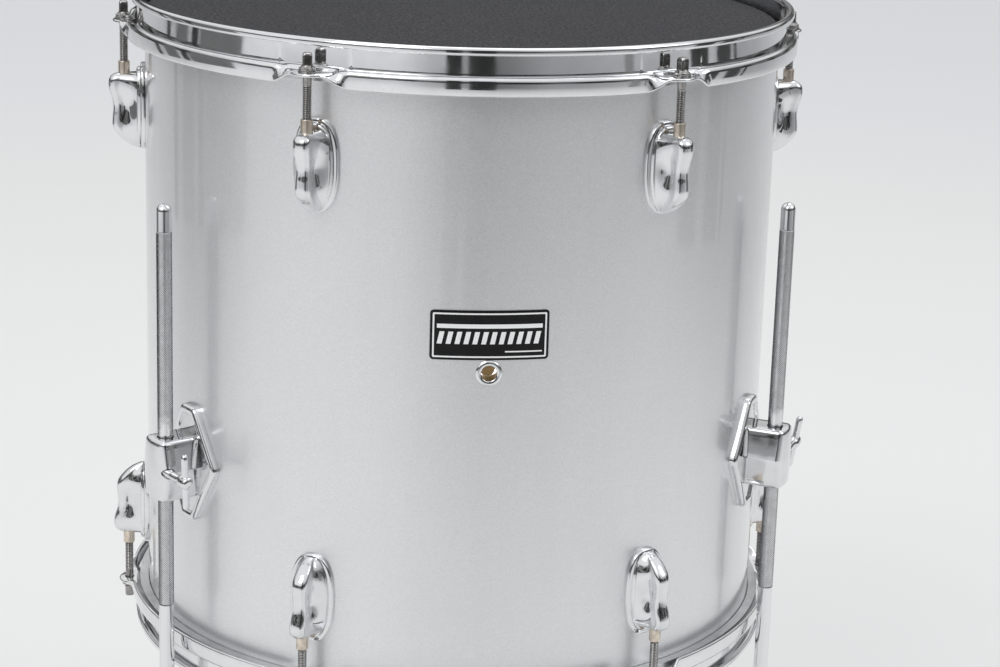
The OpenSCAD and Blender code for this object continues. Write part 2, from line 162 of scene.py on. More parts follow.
def build(name, points, faces, crease=35):
    """A mesh with outward normals, smooth apart from edges sharper than crease degrees."""
    mesh = bpy.data.meshes.new(name)
    mesh.from_pydata([tuple(p) for p in points], [], faces)
    work = bmesh.new()
    work.from_mesh(mesh)
    bmesh.ops.remove_doubles(work, verts=work.verts, dist=1e-7)
    bmesh.ops.dissolve_degenerate(work, edges=work.edges, dist=1e-7)
    bmesh.ops.recalc_face_normals(work, faces=work.faces)
    work.to_mesh(mesh)
    work.free()
    smooth(mesh, crease)
    return mesh


def smooth(mesh, crease):
    mesh.shade_smooth()
    mesh.set_sharp_from_angle(angle=math.radians(crease))


def skin(name, rings, looped=False, crease=35, fans=True):
    """A closed skin through rings of equally many points. The ends are joined, or each is closed by a fan."""
    size = len(rings[0])
    points = [p for ring in rings for p in ring]
    faces = []
    for i in range(len(rings) if looped else len(rings) - 1):
        a = i * size
        b = (i + 1) % len(rings) * size
        for j in range(size):
            k = (j + 1) % size
            faces.append((a + j, a + k, b + k, b + j))
    if fans and not looped:
        for start in (0, (len(rings) - 1) * size):
            ring = [Vector(p) for p in points[start:start + size]]
            points.append(sum(ring, Vector()) / size)
            tip = len(points) - 1
            faces += [(start + j, start + (j + 1) % size, tip) for j in range(size)]
    return build(name, points, faces, crease)


def circle(turns, radius, height, to_point):
    """A ring of points. Its radius is a number or a function of the angle."""
    sizes = [radius(t) if callable(radius) else radius for t in turns]
    return [to_point(r * math.cos(t), r * math.sin(t), height) for r, t in zip(sizes, turns)]


def lathe(name, profile, steps, to_point, looped=False, crease=35):
    """Turns a profile of (radius, height) points; to_point(a, b, height) gives the place of each point."""
    rings = [circle(around(steps), radius, height, to_point) for radius, height in profile]
    return skin(name, rings, looped, crease)


def upright(x, y=0.0):
    """Points of a lathed part whose axis is vertical."""
    return lambda a, b, h: Vector((x + a, y + b, h))


def outward(z):
    """Points of a lathed part whose axis points outwards from the drum."""
    return lambda a, b, h: Vector((h, a, z + b))


def sideways(x, z):
    """Points of a lathed part whose axis runs round the drum."""
    return lambda a, b, h: Vector((x + a, h, z + b))


def fillet(corners, radii, steps=5):
    """An open outline of 2-D points with each inner corner rounded to its radius in millimetres."""
    points = [Vector(corners[0])]
    for i in range(1, len(corners) - 1):
        here = Vector(corners[i])
        back = Vector(corners[i - 1]) - here
        ahead = Vector(corners[i + 1]) - here
        reach = min(radii[i - 1] * MM, back.length * 0.48, ahead.length * 0.48)
        start = here + back.normalized() * reach
        end = here + ahead.normalized() * reach
        for k in range(steps + 1):
            t = k / steps
            points.append(start * (1 - t) ** 2 + here * 2 * t * (1 - t) + end * t ** 2)
    points.append(Vector(corners[-1]))
    return points


def both_sides(line, half):
    """The two lines that run beside a 2-D line, half a thickness away from it."""
    left, right = [], []
    for i, point in enumerate(line):
        along = (line[min(i + 1, len(line) - 1)] - line[max(i - 1, 0)]).normalized()
        across = Vector((-along.y, along.x)) * half
        left.append(point + across)
        right.append(point - across)
    return left, right


def thicken(line, half):
    """The closed outline of a sheet that follows a 2-D line, with round edges."""
    left, right = both_sides(line, half)

    def cap(end, before, start_side, end_side):
        past = (end - before).normalized() * half
        return [end + past * 0.7 + (start_side - end) * 0.7, end + past,
                end + past * 0.7 + (end_side - end) * 0.7]

    return (left + cap(line[-1], line[-2], left[-1], right[-1])
            + right[::-1] + cap(line[0], line[1], right[0], left[0]))


def through(table):
    """A smooth function through (place, value) points."""
    table = sorted(table)

    def value(x):
        x = min(max(x, table[0][0]), table[-1][0])
        i = 0
        while i < len(table) - 2 and x > table[i + 1][0]:
            i += 1
        (x0, y0), (x1, y1) = table[i], table[i + 1]
        before = table[max(i - 1, 0)]
        after = table[min(i + 2, len(table) - 1)]
        slope0 = (y1 - before[1]) / (x1 - before[0])
        slope1 = (after[1] - y0) / (after[0] - x0)
        t = (x - x0) / (x1 - x0)
        step = x1 - x0
        return ((2 * t ** 3 - 3 * t ** 2 + 1) * y0 + (t ** 3 - 2 * t ** 2 + t) * step * slope0
                + (3 * t ** 2 - 2 * t ** 3) * y1 + (t ** 3 - t ** 2) * step * slope1)

    return value


def ease(x, start, end):
    """0 before start and 1 after end, with a smooth step between."""
    t = min(max((x - start) / (end - start), 0), 1)
    return t ** 3 * (6 * t * t - 15 * t + 10)


def outline(corners, inset, radius, arc_steps=6, edge_steps=6):
    """Points (y, z) round a convex outline moved inwards by inset, its corners rounded to radius."""
    corners = [Vector(c) for c in corners]
    arcs = []
    for i, corner in enumerate(corners):
        into = (corner - corners[i - 1]).normalized()
        away = (corners[(i + 1) % len(corners)] - corner).normalized()
        inner0 = Vector((-into.y, into.x))
        inner1 = Vector((-away.y, away.x))
        centre = corner + (inner0 + inner1) / (1 + inner0.dot(inner1)) * (inset + radius)
        swing = math.atan2(into.cross(away), into.dot(away))
        start = math.atan2(-inner0.y, -inner0.x)
        arcs.append([centre + radius * Vector((math.cos(start + swing * k / arc_steps),
                                               math.sin(start + swing * k / arc_steps)))
                     for k in range(arc_steps + 1)])
    points = []
    for i, arc in enumerate(arcs):
        points += arc
        following = arcs[(i + 1) % len(arcs)][0]
        points += [arc[-1].lerp(following, k / edge_steps) for k in range(1, edge_steps)]
    return points


def rectangle(width, height):
    """Corners of a rectangle about the origin."""
    return [(-width / 2, -height / 2), (width / 2, -height / 2),
            (width / 2, height / 2), (-width / 2, height / 2)]


def tall_hexagon(mid_width, end_width, height):
    """Corners of a hexagon with flat ends, widest at half height."""
    return [(-end_width / 2, -height / 2), (end_width / 2, -height / 2), (mid_width / 2, 0),
            (end_width / 2, height / 2), (-end_width / 2, height / 2), (-mid_width / 2, 0)]


def on_shell(y, z, height):
    """A point at a height above the shell's surface."""
    return Vector((math.sqrt((SHELL_R + height) ** 2 - y * y), y, z))


def rounded(corners, radius, edge_steps=6):
    """The outlines of a pad whose corners are rounded to radius."""
    return lambda inset: outline(corners, inset, max(radius - inset, 0.3 * MM), edge_steps=edge_steps)


def oval(width, height, power=2.5, steps=96):
    """The outlines of an oval pad, a little squarer than an ellipse."""
    def bent(part):
        return math.copysign(abs(part) ** (2 / power), part)

    unit = [(bent(math.cos(t)), bent(math.sin(t))) for t in around(steps, 0.5)]
    return lambda inset: [Vector(((width / 2 - inset) * y, (height / 2 - inset) * z)) for y, z in unit]


def pad(name, outline_at, levels, to_point, back, crease=35):
    """A closed pad. Levels of (inset, height) shape its edge, and its middle keeps the last height."""
    def ring(inset, height, shrink=1.0):
        return [to_point(p.x * shrink, p.y * shrink, height) for p in outline_at(inset)]

    inner = [0.8, 0.6, 0.4, 0.2, 0.05]
    inset, height = levels[-1]
    rings = [ring(levels[0][0], back, shrink) for shrink in reversed(inner)]
    rings.append(ring(levels[0][0], back))
    rings += [ring(*level) for level in levels]
    rings += [ring(inset, height, shrink) for shrink in inner]
    return skin(name, rings, crease=crease)


def combine(name, parts):
    """One mesh from (mesh, matrix) parts."""
    work = bmesh.new()
    for mesh, matrix in parts:
        copy = mesh.copy()
        copy.transform(matrix)
        work.from_mesh(copy)
        bpy.data.meshes.remove(copy)
    bmesh.ops.recalc_face_normals(work, faces=work.faces)
    mesh = bpy.data.meshes.new(name)
    work.to_mesh(mesh)
    work.free()
    return mesh


def carve(mesh, tool, operation, crease=35):
    """Joins a tool mesh to a mesh or cuts it away, exactly."""
    body = show("carved", mesh)
    cutter = show("cutter", tool)
    change = body.modifiers.new("carve", "BOOLEAN")
    change.operation = operation
    change.solver = "EXACT"
    change.object = cutter
    depsgraph = bpy.context.evaluated_depsgraph_get()
    result = bpy.data.meshes.new_from_object(body.evaluated_get(depsgraph))
    for thing in (body, cutter):
        bpy.data.objects.remove(thing)
    result.name = mesh.name
    smooth(result, crease)
    return result


def piece(name, mesh, finish, matrix=None, nodes=(), body="drum"):
    """Shows a copy of a mesh as a named piece that stands for CAD nodes and rides on a body."""
    mesh = mesh.copy()
    mesh.name = name
    mesh.transform(matrix or Matrix())
    mesh.materials.append(finish)
    obj = show(name, mesh)
    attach(obj, body)
    if nodes:
        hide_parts(*nodes)


# ---------- materials ----------

def colour(value):
    """A node's output as it is, or a colour of three numbers made opaque."""
    return value if isinstance(value, bpy.types.NodeSocket) else (*value, 1.0)


class Graph:
    """A node tree and the place its textures read. Each method adds a node and returns its output."""

    def __init__(self, tree, where):
        self.tree = tree
        self.where = where

    def wire(self, node, inputs):
        for key, value in inputs.items():
            if isinstance(value, bpy.types.NodeSocket):
                self.tree.links.new(value, node.inputs[key])
            else:
                node.inputs[key].default_value = value

    def add(self, kind, inputs, output=0, **settings):
        node = self.tree.nodes.new(kind)
        for key, value in settings.items():
            setattr(node, key, value)
        self.wire(node, inputs)
        return None if output is None else node.outputs[output]

    def math(self, operation, a, b, kind="ShaderNodeMath"):
        return self.add(kind, {0: a, 1: b}, operation=operation)

    def stretch(self, scale):
        return self.add("ShaderNodeMapping", {"Vector": self.where, "Scale": scale})

    def noise(self, size, detail=3, rough=0.5, stretched=None):
        """Cloudy noise with features of a size in millimetres."""
        source = self.stretch(stretched) if stretched else self.where
        return self.add("ShaderNodeTexNoise",
                        {"Vector": source, "Scale": 1 / (size * MM), "Detail": detail, "Roughness": rough})

    def cells(self, size, output=0):
        """Voronoi cells of a size in millimetres: output 0 is the distance and 1 a random colour."""
        return self.add("ShaderNodeTexVoronoi", {"Vector": self.where, "Scale": 1 / (size * MM)}, output)

    def remap(self, value, from_low, from_high, to_low, to_high):
        return self.add("ShaderNodeMapRange", {"Value": value, "From Min": from_low, "From Max": from_high,
                                               "To Min": to_low, "To Max": to_high})

    def mix(self, factor, a, b):
        node = self.tree.nodes.new("ShaderNodeMix")
        node.data_type = "RGBA"
        self.wire(node, {0: factor, 6: colour(a), 7: colour(b)})
        return node.outputs[2]


class Finish(Graph):
    """A node-based material on a piece, with its textures fixed to the piece."""

    def __init__(self, name):
        self.material = bpy.data.materials.new(name)
        self.material.use_nodes = True
        tree = self.material.node_tree
        self.surface = tree.nodes["Principled BSDF"]
        self.fixed = tree.nodes.new("ShaderNodeTexCoord").outputs["Object"]
        super().__init__(tree, None)
        chance = tree.nodes.new("ShaderNodeObjectInfo").outputs["Random"]
        self.where = self.math("ADD", self.fixed, chance, "ShaderNodeVectorMath")

    def edges(self, start=0.52, end=0.62):
        """1 on a mesh's convex edges."""
        geometry = self.tree.nodes.new("ShaderNodeNewGeometry")
        return self.remap(geometry.outputs["Pointiness"], start, end, 0, 1)

    def hollows(self, start=0.48, end=0.38):
        """1 in a mesh's concave corners."""
        return self.edges(start, end)

    def bump(self, height, depth, under=None):
        """Relief of a depth in millimetres, over another relief."""
        inputs = {"Height": height, "Distance": depth * MM, "Strength": 1.0}
        if under is not None:
            inputs["Normal"] = under
        return self.add("ShaderNodeBump", inputs)

    def finish(self, base, **inputs):
        """Sets the surface's colour and other inputs, and returns the material."""
        inputs["Base_Color"] = base
        self.wire(self.surface, {key.replace("_", " "): value for key, value in inputs.items()})
        return self.material


def chrome(name, tint, smoothness, ripple):
    """Chrome plate: faint ripples from polishing, fine scratches, pits and painted shade in the hollows."""
    m = Finish(name)
    ripples = m.noise(14, detail=1)
    scratches = m.noise(0.5, detail=2, stretched=(1, 1, 0.06))
    cloud = m.noise(9, detail=5, rough=0.6)
    pits = m.remap(m.cells(2.2), 0.05, 0.09, 1, 0)
    scarce = m.remap(m.noise(5, detail=1), 0.6, 0.64, 0, 1)
    pit = m.math("MULTIPLY", pits, scarce)
    worn = m.mix(m.remap(cloud, 0.35, 0.7, 0, 0.16), tint, (0.52, 0.52, 0.53))
    # Painted shade: the hollows are darkened towards a brownish grey.
    shaded_hollows = m.mix(m.math("MULTIPLY", m.hollows(), 0.6), worn, (0.2, 0.19, 0.17))
    base = m.mix(m.math("MULTIPLY", pit, 0.8), shaded_hollows, (0.14, 0.13, 0.12))
    rough = m.math("ADD", m.remap(cloud, 0.3, 0.75, smoothness, smoothness + 0.07),
                   m.math("MULTIPLY", pit, 0.4))
    waves = m.bump(ripples, ripple)
    fine = m.bump(scratches, 0.0015, waves)
    return m.finish(base, Metallic=1.0, Roughness=rough, Normal=m.bump(pit, -0.03, fine))


def dull_steel(name, tint, rough):
    """Dulled plate with fine lengthwise brushing and painted shade in the hollows."""
    m = Finish(name)
    brushed = m.noise(0.35, detail=3, stretched=(1, 1, 0.15))
    cloud = m.noise(3, detail=5)
    dark = tuple(0.35 * c for c in tint)
    base = m.mix(m.remap(cloud, 0.35, 0.75, 0, 0.45), tint, dark)
    # Painted shade: the hollows are darkened almost to black.
    base = m.mix(m.math("MULTIPLY", m.hollows(), 0.7), base, (0.07, 0.065, 0.06))
    base = m.mix(m.math("MULTIPLY", m.edges(), 0.5), base, (0.75, 0.74, 0.72))
    return m.finish(base, Metallic=1.0,
                    Roughness=m.remap(cloud, 0.3, 0.7, rough, rough + 0.15),
                    Normal=m.bump(brushed, 0.004))


def knurled_chrome():
    """The legs' plate: polished at its plain ends, dull on its diamonds with painted shade in their valleys,
    and rubbed bright at the bracket.
    """
    m = Finish("leg_chrome")
    height = m.add("ShaderNodeSeparateXYZ", {0: m.fixed}, output=2)
    near = m.math("ABSOLUTE", m.math("SUBTRACT", height, BRACKET_Z + 24 * MM), 0)
    patchy = m.math("ADD", near, m.remap(m.noise(5), 0.3, 0.7, -4 * MM, 4 * MM))
    rubbed = m.remap(patchy, 3 * MM, 9 * MM, 1, 0)
    above = m.remap(height, KNURL_TOP, KNURL_TOP + 0.3 * MM, 0, 1)
    below = m.remap(height, KNURL_END - 0.3 * MM, KNURL_END, 1, 0)
    plain = m.math("MAXIMUM", above, below)
    cloud = m.noise(6, detail=4)
    dull = m.mix(m.remap(cloud, 0.3, 0.7, 0, 0.35), (0.76, 0.765, 0.78), (0.62, 0.62, 0.635))
    # Painted shade: the knurl's valleys are darkened.
    dull = m.mix(m.math("MULTIPLY", m.hollows(0.52, 0.46), 0.85), dull, (0.2, 0.2, 0.21))
    worked = m.mix(m.math("MULTIPLY", rubbed, 0.85), dull, (0.88, 0.88, 0.89))
    base = m.mix(plain, worked, (0.84, 0.845, 0.855))
    dull_rough = m.math("SUBTRACT", m.remap(cloud, 0.3, 0.7, 0.2, 0.32), m.math("MULTIPLY", rubbed, 0.12))
    polished = m.math("SUBTRACT", 1.0, m.math("MULTIPLY", plain, 0.75))
    return m.finish(base, Metallic=1.0, Roughness=m.math("MULTIPLY", dull_rough, polished),
                    Normal=m.bump(m.noise(0.4), 0.002))


def silver_wrap():
    """Silver plastic: fine metal flakes under a clear, faintly wavy gloss."""
    m = Finish("silver_wrap")
    flake = m.cells(0.32, output=1)
    glint = m.add("ShaderNodeSeparateXYZ", {0: flake}, output=0)
    cloud = m.noise(45, detail=2)
    streak = m.noise(16, detail=3, stretched=(1, 1, 0.12))
    base = m.mix(glint, (0.74, 0.745, 0.76), (0.92, 0.925, 0.935))
    base = m.mix(m.remap(cloud, 0.3, 0.7, 0, 0.25), base, (0.78, 0.785, 0.8))
    base = m.mix(m.remap(streak, 0.45, 0.8, 0, 0.14), base, (0.7, 0.705, 0.72))
    tilted = m.bump(glint, 0.012)
    gloss = m.bump(m.noise(22, detail=1), 0.02)
    return m.finish(base, Metallic=0.8, Roughness=m.remap(glint, 0, 1, 0.3, 0.44),
                    Normal=tilted, Coat_Weight=1.0, Coat_Roughness=0.04, Coat_Normal=gloss)


def dark_film():
    """A sprayed grey-black drumhead with fine grain, lint specks and stick marks."""
    m = Finish("dark_head")
    grain = m.noise(2, detail=4, rough=0.7)
    cloud = m.noise(60, detail=4)
    base = m.mix(m.remap(grain, 0.38, 0.62, 0, 1), (0.008, 0.008, 0.011), (0.067, 0.067, 0.072))
    base = m.mix(m.remap(cloud, 0.35, 0.7, 0, 0.35), base, (0.032, 0.032, 0.037))
    marks = m.remap(m.noise(26, detail=6, rough=0.7), 0.62, 0.75, 0, 0.35)
    base = m.mix(marks, base, (0.085, 0.085, 0.09))
    lint = m.remap(m.cells(9), 0.035, 0.05, 1, 0)
    rare = m.remap(m.noise(12, detail=1), 0.63, 0.65, 0, 1)
    base = m.mix(m.math("MULTIPLY", lint, rare), base, (0.6, 0.57, 0.5))
    return m.finish(base, Roughness=m.remap(marks, 0, 0.35, 0.75, 0.6),
                    Normal=m.bump(grain, 0.3), Specular_IOR_Level=0.2)


def clear_film():
    """A hazy, clear drumhead."""
    m = Finish("clear_head")
    haze = m.noise(30, detail=4)
    base = m.mix(haze, (0.86, 0.88, 0.88), (0.93, 0.94, 0.93))
    return m.finish(base, Roughness=m.remap(haze, 0.3, 0.7, 0.22, 0.4),
                    Transmission_Weight=0.75, IOR=1.3, Normal=m.bump(m.noise(1), 0.01))


def ply_wood():
    """Lacquered plies: rings across the wall and long grain on its faces."""
    m = Finish("ply_wood")
    flat = m.add("ShaderNodeMapping", {"Vector": m.fixed, "Scale": (1, 1, 0)})
    across = m.add("ShaderNodeVectorMath", {0: flat}, output=1, operation="LENGTH")
    layer = m.math("FRACT", m.math("MULTIPLY", across, 1 / (2.3 * MM)), 0)
    grain = m.noise(3, detail=6, rough=0.6, stretched=(1, 1, 0.07))
    base = m.mix(grain, (0.44, 0.31, 0.14), (0.62, 0.46, 0.25))
    base = m.mix(m.remap(layer, 0.44, 0.5, 0, 0.3), base, (0.36, 0.22, 0.1))
    return m.finish(base, Roughness=0.45, Normal=m.bump(grain, 0.05), Coat_Weight=0.25)


def brushed(name, tint, rough):
    """Plain metal with brush lines along it."""
    m = Finish(name)
    lines = m.noise(0.6, detail=4, stretched=(1, 1, 0.2))
    cloud = m.noise(8, detail=4)
    base = m.mix(m.remap(cloud, 0.3, 0.75, 0, 0.4), tint, tuple(0.6 * c for c in tint))
    return m.finish(base, Metallic=1.0,
                    Roughness=m.remap(lines, 0.3, 0.7, rough, rough + 0.15), Normal=m.bump(lines, 0.01))


def rubber():
    """Dusty black rubber."""
    m = Finish("black_rubber")
    grain = m.noise(0.6, detail=4)
    dust = m.remap(m.noise(14, detail=5), 0.5, 0.8, 0, 0.35)
    base = m.mix(dust, (0.022, 0.022, 0.023), (0.12, 0.115, 0.11))
    return m.finish(base, Roughness=m.remap(grain, 0.3, 0.7, 0.6, 0.8),
                    Normal=m.bump(grain, 0.05))


def badge_foil(name, tones, grain, rough, depth, **more):
    """Foil with a faint haze in its tone, its gloss and its surface."""
    m = Finish(name)
    haze = m.noise(*grain)
    return m.finish(m.mix(haze, *tones), Roughness=m.remap(haze, 0.3, 0.7, *rough),
                    Normal=m.bump(haze, depth), **more)


chrome_hoop = chrome("chrome_hoop", (0.84, 0.845, 0.855), 0.045, 0.05)
chrome_cast = chrome("chrome_cast", (0.82, 0.825, 0.835), 0.05, 0.03)
leg_chrome = knurled_chrome()
wrap_finish = silver_wrap()
head_finish = dark_film()
film_finish = clear_film()
wood = ply_wood()
aluminium = brushed("aluminium", (0.74, 0.745, 0.755), 0.28)
zinc = brushed("zinc_steel", (0.56, 0.56, 0.55), 0.32)
rod_steel = dull_steel("rod_steel", (0.4, 0.39, 0.38), 0.14)
nut_brass = dull_steel("nut_brass", (0.8, 0.71, 0.6), 0.26)
foot_rubber = rubber()
black_foil = badge_foil("badge_black", [(0.006, 0.006, 0.007), (0.017, 0.016, 0.016)], (7, 4),
                        (0.16, 0.26), 0.02, Specular_IOR_Level=0.2)
silver_foil = badge_foil("badge_silver", [(0.88, 0.89, 0.9), (0.96, 0.965, 0.97)], (2, 3),
                         (0.3, 0.42), 0.005, Metallic=0.2)


# ---------- shell ----------

def add_wrap():
    """The wrap: a fine cylinder with the vent hole and an overlapped seam at the back."""
    steps, levels = 720, 24
    inner = SHELL_R - 0.6 * MM
    seam = math.radians(165)
    overlap = 0.35 * MM
    fade = math.radians(7)
    just_before_seam = seam - 1e-4
    turns = sorted(around(steps) + [just_before_seam])
    bottom = 2 * MID_Z - WRAP_TOP
    edge = 0.2 * MM

    def outer(turn):
        past = (turn - seam) % (2 * math.pi)
        return SHELL_R + overlap * (1 - ease(past, fade, 2 * fade) if past < math.pi else 0)

    rings = []
    for turn in turns:
        r = outer(turn)
        face = [(r, bottom + edge + (WRAP_TOP - bottom - 2 * edge) * k / levels) for k in range(levels + 1)]
        section = [(inner, bottom), (r - edge, bottom)] + face + [(r - edge, WRAP_TOP), (inner, WRAP_TOP)]
        rings.append([outwards(turn) * radius + Vector((0, 0, z)) for radius, z in section])
    mesh = skin("wrap", rings, looped=True, crease=40)
    hole_r = 6.25 * MM
    reach = 5 * MM
    cutter = lathe("vent_drill", [(hole_r, SHELL_R - reach), (hole_r, SHELL_R + reach)], 48, outward(VENT_Z))
    cutter.transform(place(BADGE_TURN))
    mesh = carve(mesh, cutter, "DIFFERENCE", crease=40)
    piece("wrap_silver", mesh, wrap_finish, nodes=["shell_wrap"])


def add_badge():
    """A curved foil badge: a silver line round its edge, a long bar and a row of plain slanted bars."""
    radius = 2.2 * MM
    thick = 0.7
    corners = rectangle(BADGE_W, BADGE_H)
    edge_steps = 14
    levels = mm([(0, 0.1), (0, thick - 0.25), (0.07, thick - 0.07), (0.25, thick), (1.2, thick)])
    body = pad("badge", rounded(corners, radius, edge_steps), levels, on_shell, 0.05 * MM)
    sunk, raised = (thick - 0.1) * MM, (thick + 0.08) * MM
    outer, inner = 1.5 * MM, 2.45 * MM
    border = []
    for inset, height in ((outer, sunk), (outer, raised), (inner, raised), (inner, sunk)):
        ring = outline(corners, inset, max(radius - inset, 0.5 * MM), edge_steps=edge_steps)
        border.append([on_shell(p.x, p.y, height) for p in ring])
    silver = [skin("border", border, looped=True)]

    def bar(y0, y1, z0, z1, slant=0.0):
        """A raised bar that follows the badge's curve."""
        steps = max(1, round((y1 - y0) / (3 * MM)))
        rings = []
        for k in range(steps + 1):
            y = y0 + (y1 - y0) * k / steps
            section = ((z0, sunk, 0), (z0, raised, 0), (z1, raised, slant), (z1, sunk, slant))
            rings.append([on_shell(y + shift, z, height) for z, height, shift in section])
        return skin("bar", rings)

    side = BADGE_W / 2 - 4 * MM
    long_bar, row, thin_bar = mm([(4.3, 6.8), (-5.2, 2.2), (-10.2, -9.4)])
    thin_length = 22 * MM
    count = 12
    gap = 2 * side / count
    bar_width = 0.55 * gap
    silver.append(bar(-side, side, *long_bar))
    for k in range(count):
        start = -side + k * gap
        silver.append(bar(start, start + bar_width, *row, slant=1.6 * MM))
    silver.append(bar(side - thin_length, side, *thin_bar))
    spot = place(BADGE_TURN, BADGE_Z)
    piece("badge_foil", body, black_foil, spot, ["badge"])
    marks = combine("badge_marks", [(mesh, Matrix()) for mesh in silver])
    smooth(marks, 35)
    piece("badge_marks", marks, silver_foil, spot)


def add_vent():
    """The grommet: a rolled flange outside and a barrel that lines the hole."""
    hole = 4.6 * MM
    flange = 7.9 * MM
    seat = SHELL_R - 0.05 * MM
    back = SHELL_R - 10 * MM
    barrel = 6.15 * MM
    rise = seat + 1.3 * MM
    section = fillet([(barrel, back), (hole, back), (hole, rise - 0.5 * MM), (hole + 1.4 * MM, rise),
                      (flange - 0.9 * MM, rise - 0.2 * MM), (flange, seat + 0.4 * MM), (flange, seat),
                      (barrel, seat), (barrel, back)],
                     [0.2, 0.6, 0.9, 0.9, 0.4, 0.1, 0.2], steps=6)[:-1]
    mesh = lathe("vent", section, 72, outward(VENT_Z), looped=True)
    piece("vent_grommet_chrome", mesh, chrome_cast, place(BADGE_TURN), ["vent_grommet"])


# ---------- heads and hoops ----------

def head_mesh(name):
    """A flat film with a rounded shoulder over the bearing edge and a collar down to its hem."""
    film = 0.3 * MM
    edge_r = SHELL_R - 2.7 * MM
    collar_r = SHELL_R + 0.25 * MM
    hem = -9.6 * MM
    half = film / 2
    flat_end = edge_r - 12 * MM
    flat_steps = 12
    flat = [Vector((edge_r * k / flat_steps, -half)) for k in range(1, flat_steps)]
    bend = fillet([(flat_end, -half), (edge_r + 0.6 * MM, -half), (collar_r, -3.4 * MM),
                   (collar_r, hem), (collar_r + 3 * MM, hem)], [2.2, 1.5, 0.5], steps=8)
    line = [point for point in flat if point.x < flat_end] + bend
    upper, lower = both_sides(line, half)
    return lathe(name, upper + lower[::-1], 360, upright(0), crease=50)


def add_heads():
    """The dark upper film and the clear lower one."""
    for end, at_bottom, finish, slot in (("batter", False, head_finish, "dark_head"),
                                         ("resonant", True, film_finish, "clear_head")):
        piece(f"{end}_head_film", head_mesh(f"{end}_film"), finish,
              place(0, 0, at_bottom), [f"{end}_head"])


HOOP_T = 2 * MM
WALL_R = SHELL_R + 3.6 * MM
LIP_R = WALL_R + 4.2 * MM
SKIRT_R = SHELL_R + 10.6 * MM
EAR_TIP_R = high("batter_hoop").x
EAR_FLAT = 7.5 * MM
EAR_BLEND = 27 * MM
LIP_DROP = 3.6 * MM


def ear_at(turn):
    """How far the skirt is unfolded into an ear, and the signed distance to the nearest rod."""
    nearest = min(((turn - lug + math.pi) % (2 * math.pi) - math.pi for lug in LUG_TURNS), key=abs)
    distance = nearest * ROD_R
    return 1 - ease(abs(distance), EAR_FLAT, EAR_BLEND), distance


def hoop_section(turn):
    """Closed outline (radius, z) of the hoop's bent sheet at an angle round the drum."""
    ear, distance = ear_at(turn)
    half = HOOP_T / 2
    lip_z = LIP_TOP - half
    shoulder_z = -6.4 * MM
    flat_z = -9.7 * MM
    step_out = 1.3 * MM
    slump = 0.3 * MM
    tip_round = 12 * MM
    riser_r = WALL_R + step_out + 1.4 * MM * ear
    knee_r = SKIRT_R + (riser_r + step_out - SKIRT_R) * ear
    knee_z = shoulder_z - slump + (flat_z - shoulder_z + slump) * ear
    skirt = knee_z - (SKIRT_BOTTOM + half)
    tip_r = EAR_TIP_R - half
    near = min(abs(distance), 9 * MM)
    reach = tip_r - (tip_round - math.sqrt(tip_round ** 2 - near ** 2)) - knee_r
    length = skirt + (reach - skirt) * ear if ear > 0 else skirt
    swing = math.pi / 2 * (1 - ear)
    tip = (knee_r + length * math.cos(swing), knee_z - length * math.sin(swing))
    corners = [(LIP_R, LIP_TOP - LIP_DROP), (LIP_R, lip_z), (WALL_R, lip_z), (WALL_R, shoulder_z),
               (riser_r, shoulder_z), (knee_r, knee_z), tip]
    return thicken(fillet(corners, [1.9, 2.2, 1.4, 1.6, 3.6], steps=6), half)


def hoop_mesh():
    """The bent sheet led round the drum, with finer steps at the ears, and the rods' holes drilled."""
    turns = []
    near_steps, far_steps = 72, 90
    span = (EAR_BLEND + 2 * MM) / ROD_R
    for lug, following in zip(LUG_TURNS, LUG_TURNS[1:] + LUG_TURNS[:1]):
        gap = (following - lug) % (2 * math.pi) - 2 * span
        turns += [lug - span + 2 * span * k / near_steps for k in range(near_steps)]
        turns += [lug + span + gap * k / far_steps for k in range(far_steps)]
    rings = []
    for turn in turns:
        rings.append([Vector((p.x * math.cos(turn), p.x * math.sin(turn), p.y)) for p in hoop_section(turn)])
    mesh = skin("hoop", rings, looped=True, crease=60)
    drill_r = 3.2 * MM
    drill = lathe("drill", [(drill_r, -14 * MM), (drill_r, -6 * MM)], 40, upright(ROD_R))
    drills = combine("drills", [(drill, Matrix.Rotation(turn, 4, "Z")) for turn in LUG_TURNS])
    return carve(mesh, drills, "DIFFERENCE", crease=60)


def add_hoops():
    """The same hoop at both ends."""
    mesh = hoop_mesh()
    for end, at_bottom in (("batter", False), ("resonant", True)):
        piece(f"{end}_hoop_chrome", mesh, chrome_hoop, place(0, 0, at_bottom),
              [f"{end}_hoop"])


# ---------- tension rods, washers and swivel nuts ----------

EAR_TOP = -8.7 * MM
WASHER_T = 1.2 * MM
ROD_SEAT = EAR_TOP + WASHER_T
ROD_END = ROD_SEAT - 60 * MM
ROD_THREAD_R = 2.65 * MM
THREAD_PITCH = 1.06 * MM
ENDS = (("top", False), ("bottom", True))


def thread_levels(top, bottom, radius, pitch, depth, steps=8):
    """(z, radius as a function of angle) levels of a right-handed thread from top to bottom."""
    count = int(round((top - bottom) / pitch * steps))
    levels = []
    for k in range(count + 1):
        z = top + (bottom - top) * k / count
        fade = min(1, (top - z) / (1.5 * pitch), (z - bottom) / pitch)

        def at(turn, z=z, fade=fade):
            phase = (z / pitch - turn / (2 * math.pi)) % 1
            ridge = 1 - abs(2 * phase - 1)
            return radius - depth * (1 - min(1, ridge * 1.25)) * fade - depth * 0.3 * (1 - fade)

        levels.append((z, at))
    return levels


